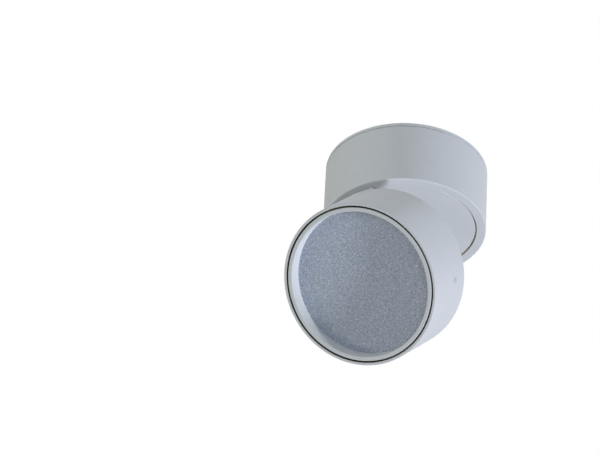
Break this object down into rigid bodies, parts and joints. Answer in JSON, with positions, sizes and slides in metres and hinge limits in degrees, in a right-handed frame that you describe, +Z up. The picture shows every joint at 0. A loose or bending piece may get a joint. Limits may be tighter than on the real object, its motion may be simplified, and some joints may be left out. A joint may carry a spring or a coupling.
{
  "type": "surface mounted ceiling spotlight",
  "caption": "Round surface mounted ceiling spotlight: a fixed cylinder with a swivelling disc and a folding cylindrical lamp head of the same diameter.",
  "frame": {"origin": "centre of the ceiling plate's top face, which lies against the ceiling", "axes": "+Z up into the ceiling along the swivel axis; -Y towards the hinge, where the head's front swings up; X along the hinge pin"},
  "size_m": [0.09, 0.1173, 0.1335],
  "materials": {
    "white_coat": "matt light grey-white powder coat on cast aluminium",
    "ring_coat": "matt light grey-white powder coat on turned aluminium",
    "hinge_coat": "matt white painted sheet steel",
    "screw_steel": "zinc plated",
    "zinc_steel": "zinc plated",
    "spring_steel": "hardened, plain",
    "bush_brass": "turned",
    "slip_plastic": "natural nylon",
    "driver_plastic": "moulded",
    "board_green": "glass laminate",
    "core_black": "ferrite core and tape",
    "capacitor_sleeve": "shrink sleeve",
    "terminal_plastic": "moulded",
    "grommet_rubber": "soft",
    "diffuser_sheet": "fine grained acrylic diffuser, unlit",
    "reflector_plastic": "moulded white",
    "chip_resin": "phosphor resin",
    "board_white": "aluminium core board with white mask",
    "pad_rubber": "silicone pad",
    "raw_aluminium": "extruded, bare"
  },
  "bodies": {
    "base": {"ceiling_plate": "white_coat", "base_housing": "white_coat", "lock_screws": "screw_steel", "carrier_plate": "zinc_steel", "carrier_screws": "screw_steel", "pivot_bush": "bush_brass", "thrust_washer": "slip_plastic", "slip_ring": "slip_plastic", "driver_case": "driver_plastic", "driver_cover": "driver_plastic", "driver_board": "board_green", "transformer": "core_black", "capacitors": "capacitor_sleeve", "driver_screws": "screw_steel", "terminal_block": "terminal_plastic", "terminal_screws": "screw_steel", "earth_screw": "bush_brass"},
    "swivel": {"swivel_disc": "white_coat", "pivot_stud": "zinc_steel", "disc_spring": "spring_steel", "pivot_nut": "zinc_steel", "stop_pin": "screw_steel", "disc_grommet": "grommet_rubber", "hinge_bracket": "hinge_coat", "bracket_screws": "screw_steel", "hinge_pin": "screw_steel", "friction_washers": "spring_steel", "hinge_nut": "screw_steel"},
    "head": {"head_housing": "white_coat", "front_ring": "ring_coat", "diffuser": "diffuser_sheet", "diffuser_gasket": "grommet_rubber", "reflector": "reflector_plastic", "led_chips": "chip_resin", "led_board": "board_white", "thermal_pad": "pad_rubber", "heat_sink": "raw_aluminium", "sink_screws": "screw_steel", "board_screws": "screw_steel", "board_connector": "terminal_plastic", "head_grommet": "grommet_rubber", "hinge_leaf": "hinge_coat", "leaf_screws": "screw_steel"}
  },
  "joints": [
    {"name": "swivel_turn", "type": "hinge", "parent": "base", "child": "swivel", "pos_m": [0, 0, -0.0388], "axis": [0, 0, 1], "range_deg": [-165, 165]},
    {"name": "head_tilt", "type": "hinge", "parent": "swivel", "child": "head", "pos_m": [0, -0.0407, -0.0444], "axis": [-1, 0, 0], "range_deg": [-44.3, 45.7]}
  ]
}
